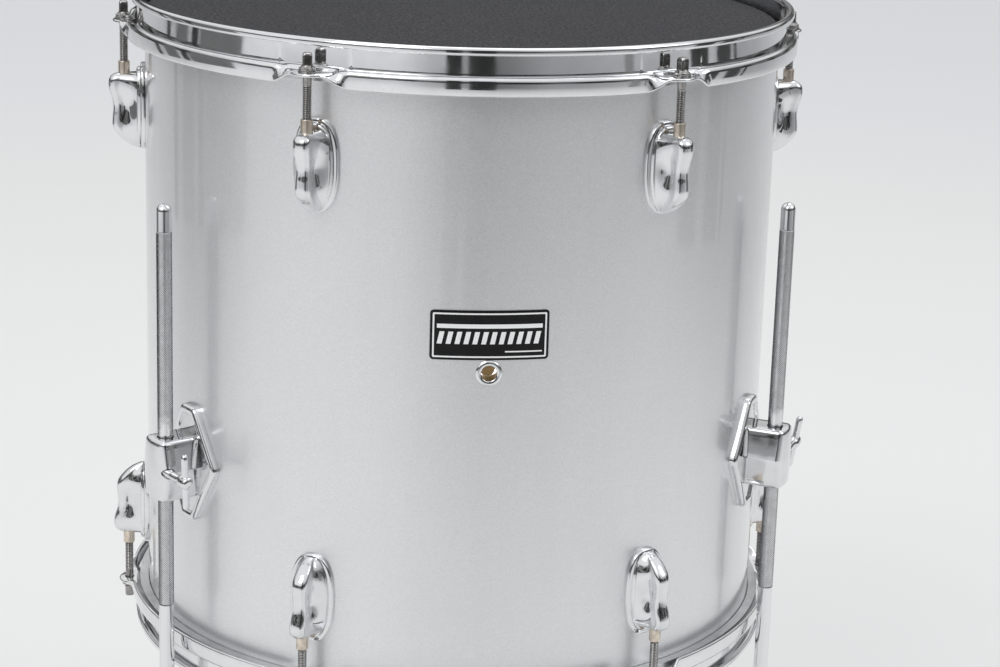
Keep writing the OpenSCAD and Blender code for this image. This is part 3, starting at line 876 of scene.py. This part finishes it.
def rod_mesh():
    """A square-headed rod: domed head, cone, collar, plain shank and a helical thread."""
    steps = 40
    turns = around(steps, 0.5)

    def round_ring(z, radius):
        return circle(turns, radius, z, upright(ROD_R))

    def square_ring(z, half, power):
        return round_ring(z, lambda t: half * (abs(math.cos(t)) ** power
                                               + abs(math.sin(t)) ** power) ** (-1 / power))

    head = [(10.4, 0.9, 3), (10.25, 1.7, 4), (9.8, 2.35, 5), (9.1, 2.68, 6), (8, 2.8, 7), (3.9, 2.8, 7),
            (3.4, 2.95, 5)]
    rings = [square_ring(ROD_SEAT + z * MM, half * MM, power) for z, half, power in head]
    cone = [(3.0, 3.2), (2.6, 3.5), (2.1, 3.9), (1.8, 4.35)]
    collar = [(1.65, 4.7), (1.45, 4.88), (1.2, 4.9), (0.5, 4.9), (0.15, 4.8), (0.0, 4.5), (0.0, 2.9)]
    rings += [round_ring(ROD_SEAT + z * MM, r * MM) for z, r in cone + collar]
    shank = 2.6 * MM
    thread_top = ROD_SEAT - 8 * MM
    thread_bottom = ROD_END + 1.2 * MM
    rings += [round_ring(ROD_SEAT - 0.2 * MM, shank), round_ring(thread_top + 0.3 * MM, shank)]
    thread = thread_levels(thread_top, thread_bottom, ROD_THREAD_R, THREAD_PITCH, 0.5 * MM)
    rings += [round_ring(*level) for level in thread]
    rings += [round_ring(ROD_END + 0.8 * MM, 2.3 * MM), round_ring(ROD_END, 1.7 * MM)]
    return skin("rod", rings, crease=28)


def washer_mesh():
    """A flat ring with softened edges."""
    inner, outer = 3.0 * MM, 5.3 * MM
    bottom, top = EAR_TOP, EAR_TOP + WASHER_T - 0.05 * MM
    middle = EAR_TOP + 0.6 * MM
    profile = fillet([(inner, middle), (inner, bottom), (outer, bottom), (outer, top), (inner, top),
                      (inner, middle)], [0.2, 0.35, 0.35, 0.2], steps=3)[:-1]
    return lathe("washer", profile, 48, upright(ROD_R), looped=True)


def nut_mesh():
    """A sleeve nut whose mouth is turned in a little."""
    top = high("swivel_nuts").z
    bottom = top - 18 * MM
    outer, bore = 3.6 * MM, 2.72 * MM
    inside = top - 2 * MM
    profile = fillet([(bore, inside), (bore + 0.1 * MM, top - 0.3 * MM), (3.2 * MM, top),
                      (outer, top - 0.4 * MM), (outer, bottom), (bore, bottom), (bore, inside)],
                     [0.3] * 5, steps=3)[:-1]
    return lathe("nut", profile, 48, upright(ROD_R), looped=True)


def add_rods():
    """Twelve rods, each turned differently, with their washers and nuts."""
    rod = rod_mesh()
    first_spin, next_spin = 28, 67
    for end, at_bottom in ENDS:
        for i, turn in enumerate(LUG_TURNS):
            name = f"rod_{end}_{i + 1}"
            spot = place(turn, 0, at_bottom) @ turned_at(ROD_R, first_spin + next_spin * i, "Z")
            piece(f"{name}_steel", rod, rod_steel, spot, [name], body=name)
    everywhere = [place(turn, 0, at_bottom) for end, at_bottom in ENDS for turn in LUG_TURNS]
    for name, mesh, finish, slot, node in (
            ("washers_steel", washer_mesh(), rod_steel, "steel_rod", "rod_washers"),
            ("nuts_brass", nut_mesh(), nut_brass, "nickel_brass", "swivel_nuts")):
        joined = combine(name, [(mesh, matrix) for matrix in everywhere])
        smooth(joined, 35)
        piece(name, joined, finish, nodes=[node])


# ---------- lugs ----------

def fin_mesh():
    """The lug's fin: two swells with a waist between them, scooped flanks and a flared foot.

    At each height, nose is how far it stands out of the shell, ridge and foot are its half widths
    outside and at the plate, and scoop is how deep its flanks are hollowed.
    """
    top, bottom = 21.4 * MM, -26.7 * MM
    back = SHELL_R + 3.5 * MM
    nose = through(mm([(21.4, 19), (19.5, 21.2), (16.5, 22.7), (13, 23), (9, 22.2), (5, 20.9), (1, 20.2),
                       (-2, 20.1), (-7, 20.6), (-12, 20.8), (-15.5, 19.7), (-18.5, 17.4), (-21.5, 14.5),
                       (-24.2, 10.9), (-26, 7.6), (-26.7, 5.6)]))
    ridge = through(mm([(21.4, 5), (17, 5.4), (12, 5.3), (5, 4.8), (0, 4.5), (-6, 4.8), (-13, 5.1),
                        (-19, 4.8), (-23, 4), (-26.7, 2.6)]))
    foot = through(mm([(21.4, 8.3), (17, 9.9), (10, 11.1), (0, 11.6), (-10, 11.1), (-18, 9.6), (-23, 7.4),
                       (-26.7, 4.4)]))
    scoop = through(mm([(21.4, 0.05), (11, 0.1), (6, 0.9), (0, 1.7), (-6, 1.3), (-12, 0.4), (-18, 0.1),
                        (-26.7, 0.05)]))
    arch_drop = 4.5 * MM
    arch_in = 3.0 * MM
    levels = 66
    flank_steps, nose_steps = 12, 9
    rings = []
    for k in range(levels + 1):
        share = k / levels
        z = top + (bottom - top) * (0.5 - 0.5 * math.cos(math.pi * share))
        near_top = max(0, 1 - (top - z) / arch_drop)
        arch = 1 - math.sqrt(max(1 - near_top ** 2, 0))
        width = ridge(z) * (1 - 0.8 * arch)
        base = foot(z) - ridge(z) * 0.6 * arch
        reach = SHELL_R + nose(z) - arch_in * arch
        nose_start = reach - 0.95 * width
        side = []
        for j in range(flank_steps + 1):
            u = j / flank_steps
            hollow = scoop(z) * math.sin(math.pi * u ** 1.4) ** 2
            half_width = max(width + (base - width) * (1 - u) ** 1.6 - hollow, 0.8 * MM)
            side.append((back + (nose_start - back) * u, half_width))
        for j in range(1, nose_steps):
            angle = math.pi / 2 * j / nose_steps
            side.append((nose_start + 0.95 * width * math.sin(angle) ** 0.85,
                         width * math.cos(angle) ** 0.75))
        ring = [Vector((x, y, z)) for x, y in side] + [Vector((reach, 0, z))]
        ring += [Vector((x, -y, z)) for x, y in reversed(side)]
        rings.append(ring)
    folds = [[Vector((p.x, 0, p.z)) for p in ring] for ring in (rings[0], rings[-1])]
    return skin("fin", [folds[0]] + rings + [folds[1]], crease=60, fans=False)


def lug_mesh():
    """The fin on its two-stepped oval plate, with a bore for the nut and the rod's end."""
    flange, rise = 2.8, 5.3
    levels = mm([(0, 0.4), (0, flange - 1.2), (0.15, flange - 0.6), (0.6, flange - 0.15), (1.2, flange),
                 (2.1, flange), (2.6, flange + 0.3), (2.8, flange + 0.9), (3.0, rise - 0.7),
                 (3.5, rise - 0.2), (4.2, rise), (6.0, rise), (8.0, rise)])
    plate = pad("lug", oval(LUG_W, LUG_H), levels, on_shell, 0.05 * MM)
    mesh = carve(plate, fin_mesh(), "UNION", crease=32)
    bore = 3.75 * MM
    drill = lathe("bore", [(bore, -10 * MM), (bore, 30 * MM)], 48, upright(ROD_R))
    return carve(mesh, drill, "DIFFERENCE", crease=32)


def add_lugs():
    """Six lugs at each end."""
    mesh = lug_mesh()
    for end, at_bottom in ENDS:
        for i, turn in enumerate(LUG_TURNS):
            name = f"lug_{end}_{i + 1}"
            spot = place(turn, LUG_Z, at_bottom)
            piece(f"{name}_chrome", mesh, chrome_cast, spot, [name])


# ---------- leg brackets ----------

def bracket_mesh():
    """A six-sided plate with a raised rim, and a block that holds the leg and the wing screw."""
    plate_h = tall("bracket_1")
    rim, field = 5, 3.4
    levels = mm([(0, 0.4), (0, rim - 2.4), (0.3, rim - 1.3), (0.9, rim - 0.5), (1.8, rim - 0.1), (2.9, rim),
                 (4.0, rim - 0.15), (4.9, rim - 0.6), (5.5, field + 0.3), (6.0, field)])
    plate_outline = rounded(tall_hexagon(58 * MM, 15 * MM, plate_h), 6.5 * MM)
    plate = pad("bracket", plate_outline, levels, on_shell, 0.05 * MM, crease=30)
    block_h = 39 * MM
    block_r = SHELL_R + 30 * MM
    nose_curve = 28 * MM
    bulge = 0.6 * MM

    def on_block(y, z, height):
        front = block_r - y * y / (2 * nose_curve) - bulge * (2 * z / block_h) ** 2
        start = SHELL_R + 1 * MM
        return Vector((start + (front - start) * height, y, z)) if height < 1 else Vector((front, y, z))

    edge = 2.8 * MM
    depth = 28 * MM
    rounding = [(edge * (1 - math.cos(a)), 1 - edge / depth * (1 - math.sin(a)))
                for a in (math.radians(d) for d in (0, 15, 30, 45, 60, 75))]
    block_levels = [(0, 0.3), (0, 0.6)] + rounding + [(edge, 1.0), (edge + 1.5 * MM, 1.0)]
    block_outline = rounded(tall_hexagon(28 * MM, 22 * MM, block_h), 3.0 * MM)
    block = pad("block", block_outline, block_levels, on_block, 0.0, crease=30)
    mesh = carve(plate, block, "UNION", crease=30)
    leg_hole = 5.2 * MM
    drill = lathe("leg_drill", [(leg_hole, -block_h), (leg_hole, block_h)], 57, upright(LEG_R))
    mesh = carve(mesh, drill, "DIFFERENCE", crease=30)
    screw, mouth = 2.75 * MM, 3.6 * MM
    mouth_y = 8 * MM
    outside = 40 * MM
    drill = lathe("screw_drill", [(screw, 0), (screw, mouth_y), (mouth, mouth_y), (mouth, outside)], 40,
                  sideways(LEG_R + WING_OUT, 0))
    return carve(mesh, drill, "DIFFERENCE", crease=30)


def wing_mesh():
    """A wing screw: thread, plain shank, domed hub and a bar across it with rounded ends."""
    steps = 32
    centre_x = LEG_R + WING_OUT
    thread = thread_levels(17 * MM, 5 * MM, 2.65 * MM, 1.25 * MM, 0.5 * MM)
    tip = [(4.1, 1.8), (4.6, 2.2)]
    shank = [(17.4, 2.6), (20, 2.6), (25, 2.62), (26.4, 2.85), (27.4, 3.3), (28.2, 3.75), (29.2, 4.0),
             (34, 4.0), (35.1, 3.85), (35.9, 3.4), (36.3, 2.6), (36.5, 1.5), (36.5, 0.4)]
    rings = [circle(around(steps), radius, y, sideways(centre_x, 0))
             for y, radius in mm(tip) + thread[::-1] + mm(shank)]
    screw = skin("wing_screw", rings, crease=40)
    bar = [(0, 2.45), (4, 2.35), (7, 2.25), (11, 2.2), (14.4, 2.3), (16, 2.2), (17.1, 1.75), (17.7, 1.1),
           (18.0, 0.3)]
    profile = mm([(r, -z) for z, r in reversed(bar[1:])] + [(r, z) for z, r in bar])
    wing = lathe("wing", profile, steps, upright(centre_x, WING_Y))
    return carve(screw, wing, "UNION", crease=50)


def add_brackets():
    """Three brackets and their wing screws, each screw left at its own angle."""
    mesh = bracket_mesh()
    wing = wing_mesh()
    leans = [2, 9.5, 5]
    for i, turn in enumerate(LEG_TURNS):
        piece(f"bracket_{i + 1}_chrome", mesh, chrome_cast, place(turn, BRACKET_Z),
              [f"bracket_{i + 1}"])
        name = f"wing_screw_{i + 1}"
        spot = place(turn, BRACKET_Z) @ turned_at(LEG_R + WING_OUT, leans[i], "Y")
        piece(f"{name}_chrome", wing, chrome_cast, spot, [name], body=name)


# ---------- legs and feet ----------

LEG_ROD_R = 4.75 * MM
FOOT_OUT = 36 * MM


def leg_mesh():
    """A domed rod with a diamond knurl, bent out and back down above its foot."""
    diamonds = 21
    turns = around(2 * diamonds)
    plain = LEG_ROD_R - 0.1 * MM
    knurl_step = 0.7 * MM
    bend_start = -455 * MM
    bend_r = 45 * MM
    bend = math.radians(22)

    def ring(x, z, lean, radius, knurl=0.0, parity=0):
        """A ring round the rod at (x, z), the rod leaning outwards by lean as it goes down."""
        points = []
        for j, t in enumerate(turns):
            r = radius - (knurl if (j + parity) % 2 else 0)
            side = r * math.cos(t)
            points.append(Vector((x + side * math.cos(lean), r * math.sin(t), z + side * math.sin(lean))))
        return points

    rings = []
    dome_steps = 8
    for k in range(1, dome_steps + 1):
        angle = math.pi / 2 * k / dome_steps
        rings.append(ring(LEG_R, LEG_TOP - plain * (1 - math.cos(angle)), 0, plain * math.sin(angle)))
    rings.append(ring(LEG_R, KNURL_TOP + 0.4 * MM, 0, plain))
    count = int(round((KNURL_TOP - KNURL_END) / knurl_step))
    for k in range(count + 1):
        z = KNURL_TOP + (KNURL_END - KNURL_TOP) * k / count
        depth = 0.45 * MM if 0 < k < count else 0.05 * MM
        rings.append(ring(LEG_R, z, 0, LEG_ROD_R, depth, k))
    rings.append(ring(LEG_R, KNURL_END - 0.4 * MM, 0, plain))
    rings.append(ring(LEG_R, bend_start, 0, plain))
    bend_steps = 12
    for k in range(1, bend_steps + 1):
        a = bend * k / bend_steps
        rings.append(ring(LEG_R + bend_r * (1 - math.cos(a)), bend_start - bend_r * math.sin(a), a, plain))
    slant = (FOOT_OUT - 2 * bend_r * (1 - math.cos(bend))) / math.sin(bend)
    back_z = bend_start - 2 * bend_r * math.sin(bend) - slant * math.cos(bend)
    for k in range(bend_steps + 1):
        a = bend * (1 - k / bend_steps)
        x = LEG_R + FOOT_OUT - bend_r * (1 - math.cos(a))
        rings.append(ring(x, back_z + bend_r * math.sin(a), a, plain))
    end = FLOOR_Z + 9 * MM
    rings.append(ring(LEG_R + FOOT_OUT, end + 0.6 * MM, 0, plain))
    rings.append(ring(LEG_R + FOOT_OUT, end, 0, plain - 0.6 * MM))
    return skin("leg", rings, crease=20)


def foot_mesh():
    """A moulded rubber foot: broad base, ribbed waist and a rolled mouth round the rod."""
    top = FOOT_TOP
    height = top - FLOOR_Z
    outer = [(0.1, 0), (10.2, 0), (10.6, 0.6), (11.2, 0.6), (11.6, 0), (12.4, 0.15), (12.9, 0.8), (13, 1.8),
             (13, 8.4), (12.8, 9.2), (12.2, 10), (11.2, 13)]
    outer += [(r, z) for k in range(3) for r, z in (
        (11.0 - 0.5 * k, 13.6 + 3.2 * k), (10.1 - 0.45 * k, 14.2 + 3.2 * k),
        (9.9 - 0.45 * k, 15.4 + 3.2 * k), (10.6 - 0.5 * k, 16.2 + 3.2 * k))]
    outer += [(8.6, 24.5), (8.3, 27), (8.3, 28.5), (8.5, 30), (8.5, 32.6), (8.2, 33.5), (7.5, 34), (5.6, 34),
              (4.9, 33.6), (4.67, 32.8), (4.67, 9), (4.0, 8.6), (0.1, 8.6)]
    scale = height / 34
    profile = [(r * MM, FLOOR_Z + z * scale) for r, z in outer]
    return lathe("foot", profile, 96, upright(LEG_R + FOOT_OUT), crease=32)


def add_legs():
    """Three legs with their feet."""
    rod = leg_mesh()
    rubber_foot = foot_mesh()
    for i, turn in enumerate(LEG_TURNS):
        leg, foot = f"leg_{i + 1}", f"foot_{i + 1}"
        piece(f"{leg}_rod", rod, leg_chrome, place(turn), [leg], body=leg)
        piece(f"{foot}_rubber", rubber_foot, foot_rubber, place(turn), [foot], body=leg)


# ---------- CAD nodes that stay ----------

def dress_nodes():
    """Gives the parts inside the drum, which are shown as the CAD made them, their finishes."""
    finishes = ((wood, ["shell_ply"]),
                (aluminium, ["batter_flesh_hoop", "resonant_flesh_hoop"]),
                (zinc, ["vent_lock_ring", "lug_screws", "lug_screw_washers", "bracket_screws",
                        "bracket_backing_plates"]))
    for finish, names in finishes:
        for node in (frame["nodes"][name] for name in names):
            if not node.material_slots:
                node.data.materials.append(finish)
            for holder in node.material_slots:
                holder.material = finish


# ---------- stage ----------

# How bright the room is by direction from the drum, in degrees from the badge's side.
ROOM = [(-180, 0.9), (-150, 0.8), (-110, 0.58), (-78, 1.0), (-28, 0.95), (-14, 0.6), (5, 0.22), (26, 0.45),
        (58, 0.6), (76, 0.75), (104, 0.5), (142, 0.85), (180, 0.9)]


def room_tone(graph, direction):
    """The room's brightness in a direction."""
    across, along = (graph.add("ShaderNodeSeparateXYZ", {0: direction}, output=k) for k in (0, 1))
    turn = graph.math("ARCTAN2", across, graph.math("MULTIPLY", along, -1))
    ramp = graph.tree.nodes.new("ShaderNodeValToRGB")
    ramp.color_ramp.interpolation = "EASE"
    for index, (degrees, tone) in enumerate(ROOM):
        at = (degrees + 180) / 360
        stops = ramp.color_ramp.elements
        stop = stops[index] if index < 2 else stops.new(at)
        stop.position = at
        stop.color = (tone, tone, tone, 1)
    graph.wire(ramp, {0: graph.remap(turn, -math.pi, math.pi, 0, 1)})
    return ramp.outputs[0]


def add_floor():
    """A pale studio floor, a little darker far behind the drum."""
    steps = 96
    radii = [0.3, 1, 2, 3, 5, 9, 14]
    mesh = bpy.data.meshes.new("floor")
    points = [point for r in radii for point in circle(around(steps), r, FLOOR_Z, upright(0))]
    faces = []
    for i in range(len(radii) - 1):
        for k in range(steps):
            j = (k + 1) % steps
            faces.append((i * steps + k, i * steps + j, (i + 1) * steps + j, (i + 1) * steps + k))
    faces.append(tuple(range(steps)))
    mesh.from_pydata(points, [], faces)
    floor = show("floor", mesh)
    m = Finish("floor_paint")
    reach = m.add("ShaderNodeVectorMath", {0: m.fixed}, output=1, operation="LENGTH")
    far = m.remap(reach, 2.5, 3.1, 0, 1)
    off = m.remap(reach, 1.3, 2.6, 0.1, 1)
    seen_in_gloss = m.tree.nodes.new("ShaderNodeLightPath").outputs["Is Glossy Ray"]
    room = m.mix(m.math("MULTIPLY", off, seen_in_gloss), (1, 1, 1), room_tone(m, m.fixed))
    cloud = m.noise(400, detail=3)
    base = m.mix(m.remap(cloud, 0.3, 0.7, 0, 0.5), (0.80, 0.80, 0.79), (0.785, 0.785, 0.78))
    base = m.mix(far, base, (0.785, 0.79, 0.8))
    base = m.add("ShaderNodeVectorMath", {0: base, 1: room}, operation="MULTIPLY")
    mesh.materials.append(m.finish(base, Roughness=0.7, Specular_IOR_Level=0.2,
                                   Normal=m.bump(m.noise(4), 0.05)))


def add_light(name, spot, size, power, tint=(1, 1, 1)):
    """A soft lamp that faces the upper half of the drum."""
    aim = Vector((0, 0, -0.2))
    lamp = bpy.data.lights.new(name, "AREA")
    lamp.shape = "RECTANGLE"
    lamp.size, lamp.size_y = size
    lamp.energy = power
    lamp.color = tint
    obj = show(name, lamp)
    obj.location = spot
    obj.rotation_mode = "QUATERNION"
    obj.rotation_quaternion = (aim - Vector(spot)).to_track_quat("-Z", "Y")


def add_inner_lamp():
    """Lights the wood behind the vent."""
    lamp = bpy.data.lights.new("inner", "POINT")
    lamp.energy = 0.35
    lamp.shadow_soft_size = 0.05
    show("inner", lamp).location = (0, 0, MID_Z)


def add_card(name, degrees, width, tone, distance=1.9, height=1.6):
    """An upright card in a direction from the drum, which only shows in reflections."""
    out = outwards(math.radians(degrees))
    side = Vector((-out.y, out.x, 0)) * width / 2
    base = out * distance + Vector((0, 0, FLOOR_Z))
    up = Vector((0, 0, height))
    mesh = bpy.data.meshes.new(name)
    mesh.from_pydata([base - side, base + side, base + side + up, base - side + up], [], [range(4)])
    card = show(name, mesh)
    m = Finish(name)
    cloud = m.noise(300)
    mesh.materials.append(m.finish(m.mix(cloud, (tone,) * 3, (0.6 * tone,) * 3), Roughness=0.8))
    for ray in ("camera", "diffuse", "shadow"):
        setattr(card, f"visible_{ray}", False)


def add_room():
    """Dark things round the studio, for the chrome to mirror: a person, a panel and gear on both sides."""
    add_card("person_left_leg", -8.8, 0.165, 0.02)
    add_card("person_right_leg", 0.2, 0.275, 0.02)
    add_card("panel", -94, 0.8, 0.22, distance=2.2, height=1.2)
    sides = [(-107, 0.14, 0.03, 1.2), (-115, 0.3, 0.2, 1.0), (-124, 0.12, 0.06, 1.3),
             (50, 0.13, 0.3, 1.1), (79.5, 0.34, 0.04, 1.1), (92, 0.3, 0.06, 1.0), (98.5, 0.06, 0.03, 0.9)]
    for k, (degrees, width, tone, height) in enumerate(sides):
        add_card(f"gear_{k + 1}", degrees, width, tone, distance=2.2, height=height)


def add_world():
    """A plain pale surround for the camera. Reflections see a cluttered horizon under a pale ceiling."""
    world = bpy.data.worlds.new("studio")
    world.use_nodes = True
    bpy.context.scene.world = world
    tree = world.node_tree
    tree.nodes.clear()
    direction = tree.nodes.new("ShaderNodeTexCoord").outputs["Generated"]
    path = tree.nodes.new("ShaderNodeLightPath").outputs
    room = Graph(tree, direction)
    height = room.add("ShaderNodeSeparateXYZ", {0: direction}, output=2)
    tone = room_tone(room, direction)
    clutter = room.remap(room.noise(140, detail=4), 0.42, 0.62, 0.02, 0.35)
    things = room.mix(path["Is Glossy Ray"], tone, room.mix(clutter, (0, 0, 0), tone))
    walls = room.mix(room.remap(height, 0.24, 0.34, 0, 1), things, tone)
    ceiling = room.mix(room.remap(height, 0.34, 0.75, 0, 1), walls, (0.97, 0.98, 1.0))
    lit = room.add("ShaderNodeBackground", {"Color": ceiling, "Strength": 0.92})
    plain = room.add("ShaderNodeBackground", {"Color": (0.70, 0.705, 0.71, 1)})
    surround = room.add("ShaderNodeMixShader", {0: path["Is Camera Ray"], 1: lit, 2: plain})
    room.add("ShaderNodeOutputWorld", {0: surround}, output=None)


def add_camera():
    """Where the photographer stood: slightly left of the badge and a little above the head."""
    yaw, pitch, roll = (math.radians(d) for d in (8.953, 15.352, 2.249))
    ahead = Vector((math.sin(yaw) * math.cos(pitch), math.cos(yaw) * math.cos(pitch), -math.sin(pitch)))
    right = Vector((math.cos(yaw), -math.sin(yaw), 0))
    up = right.cross(ahead)
    x_axis = math.cos(roll) * right + math.sin(roll) * up
    y_axis = -math.sin(roll) * right + math.cos(roll) * up
    lens = bpy.data.cameras.new("camera")
    lens.lens = 89.28
    lens.shift_x = -0.082
    lens.shift_y = -0.0221
    lens.clip_end = 60
    camera = show("camera", lens)
    camera.matrix_world = axes_at(x_axis, y_axis, -ahead, (-0.1654, -1.5848, 0.2388))
    bpy.context.scene.camera = camera


add_wrap()
add_badge()
add_vent()
add_heads()
add_hoops()
add_rods()
add_lugs()
add_brackets()
add_legs()
dress_nodes()
add_floor()
add_world()
add_light("key", (-1.6, -1.9, 2.3), (1.6, 1.2), 22)
add_light("fill", (2.2, -0.9, 1.7), (1.2, 1.2), 8.5, (0.92, 0.96, 1.0))
add_light("top", (0.3, 1.0, 2.6), (2.0, 1.4), 14.5)
add_inner_lamp()
add_room()
add_camera()
bpy.context.scene.view_settings.view_transform = "Standard"
